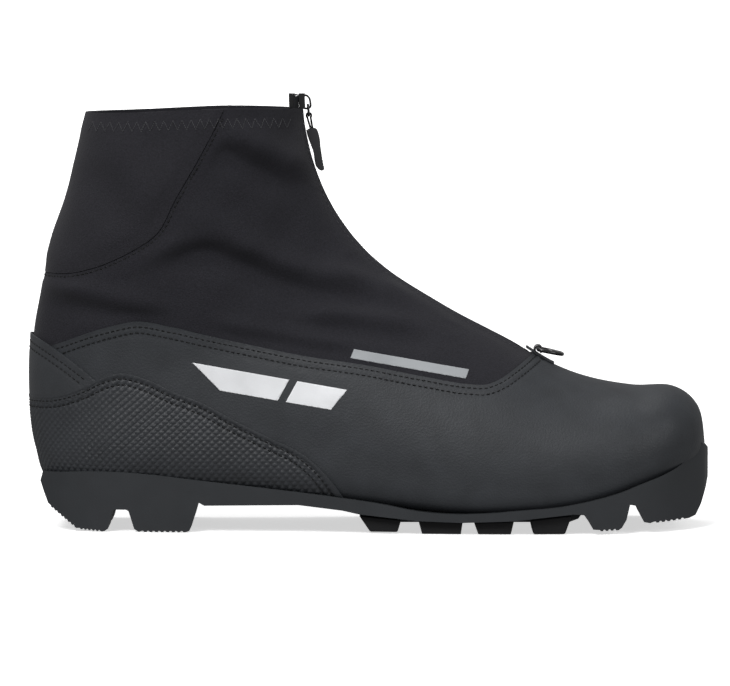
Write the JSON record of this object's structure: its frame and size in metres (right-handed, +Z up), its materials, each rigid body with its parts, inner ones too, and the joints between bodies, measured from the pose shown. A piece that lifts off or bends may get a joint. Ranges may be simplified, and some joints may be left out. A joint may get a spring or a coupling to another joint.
{
  "type": "cross country boot",
  "caption": "Ankle-high cross country ski boot, right foot, with a zipped gaiter cuff, a leather shell over a moulded sole with a toe bar.",
  "frame": {"origin": "centre of the footprint on the plane the lugs stand on", "axes": "+X towards the toe, +Y towards the inner side of the foot, +Z up"},
  "size_m": [0.2993, 0.101, 0.1898],
  "materials": {
    "shell_leather": "fine grained, matte",
    "patch_leather": "smooth, matte",
    "softshell": "tight knit face, matte",
    "back_softshell": "tight knit face, matte",
    "lining_textile": "brushed",
    "board": "pressed fibre",
    "foam": "felted foam",
    "stiffener": "matte",
    "sole_charcoal": "fine texture",
    "grip_rubber": "matte",
    "zip_tape": "woven",
    "zip_coil": "satin",
    "black_metal": "gloss black",
    "pull_rubber": "matte",
    "pull_cord": "braided",
    "steel": "brushed"
  },
  "bodies": {
    "boot": {"outsole_plate": "sole_charcoal", "toe_bar": "steel", "grip_pad_1_outer": "grip_rubber", "grip_pad_1_inner": "grip_rubber", "grip_pad_2_outer": "grip_rubber", "grip_pad_2_inner": "grip_rubber", "grip_pad_3_outer": "grip_rubber", "grip_pad_3_inner": "grip_rubber", "grip_pad_4_outer": "grip_rubber", "grip_pad_4_inner": "grip_rubber", "lasting_board": "board", "shank": "steel", "footbed": "foam", "heel_stiffener": "stiffener", "toe_puff": "stiffener", "lining_sock": "lining_textile", "collar_facing": "softshell", "tongue": "lining_textile", "eyestay_outer": "softshell", "eyestay_inner": "softshell", "vamp_shell": "shell_leather", "heel_patch": "patch_leather", "heel_cup": "shell_leather", "gaiter_outer": "softshell", "gaiter_inner": "softshell", "cuff_back_panel": "back_softshell", "zip_tape_outer": "zip_tape", "zip_tape_inner": "zip_tape", "zip_chain_outer": "zip_coil", "zip_chain_inner": "zip_coil", "zip_bottom_stop": "black_metal", "ring_clip": "black_metal", "ring_tab": "patch_leather"},
    "zip_slider": {"zip_slider": "black_metal"},
    "pull_link": {"pull_link": "black_metal"},
    "pull_tab": {"pull_cord": "pull_cord", "pull_tab": "pull_rubber"},
    "gaiter_ring": {"gaiter_ring": "black_metal"}
  },
  "joints": [
    {"name": "zip_travel", "type": "hinge", "parent": "boot", "child": "zip_slider", "pos_m": [0.0687, 0, 0.1896], "axis": [0, -1, 0], "range_deg": [0, 50]},
    {"name": "link_swing", "type": "hinge", "parent": "zip_slider", "child": "pull_link", "pos_m": [-0.02622, 0, 0.18471], "axis": [0, -1, 0], "range_deg": [0, 100]},
    {"name": "tab_swing", "type": "hinge", "parent": "pull_link", "child": "pull_tab", "pos_m": [-0.02582, 0, 0.18011], "axis": [0, -1, 0], "range_deg": [0, 60]},
    {"name": "ring_swing", "type": "hinge", "parent": "boot", "child": "gaiter_ring", "pos_m": [0.075, 0, 0.0774], "axis": [0, -1, 0], "range_deg": [0, 110]}
  ]
}
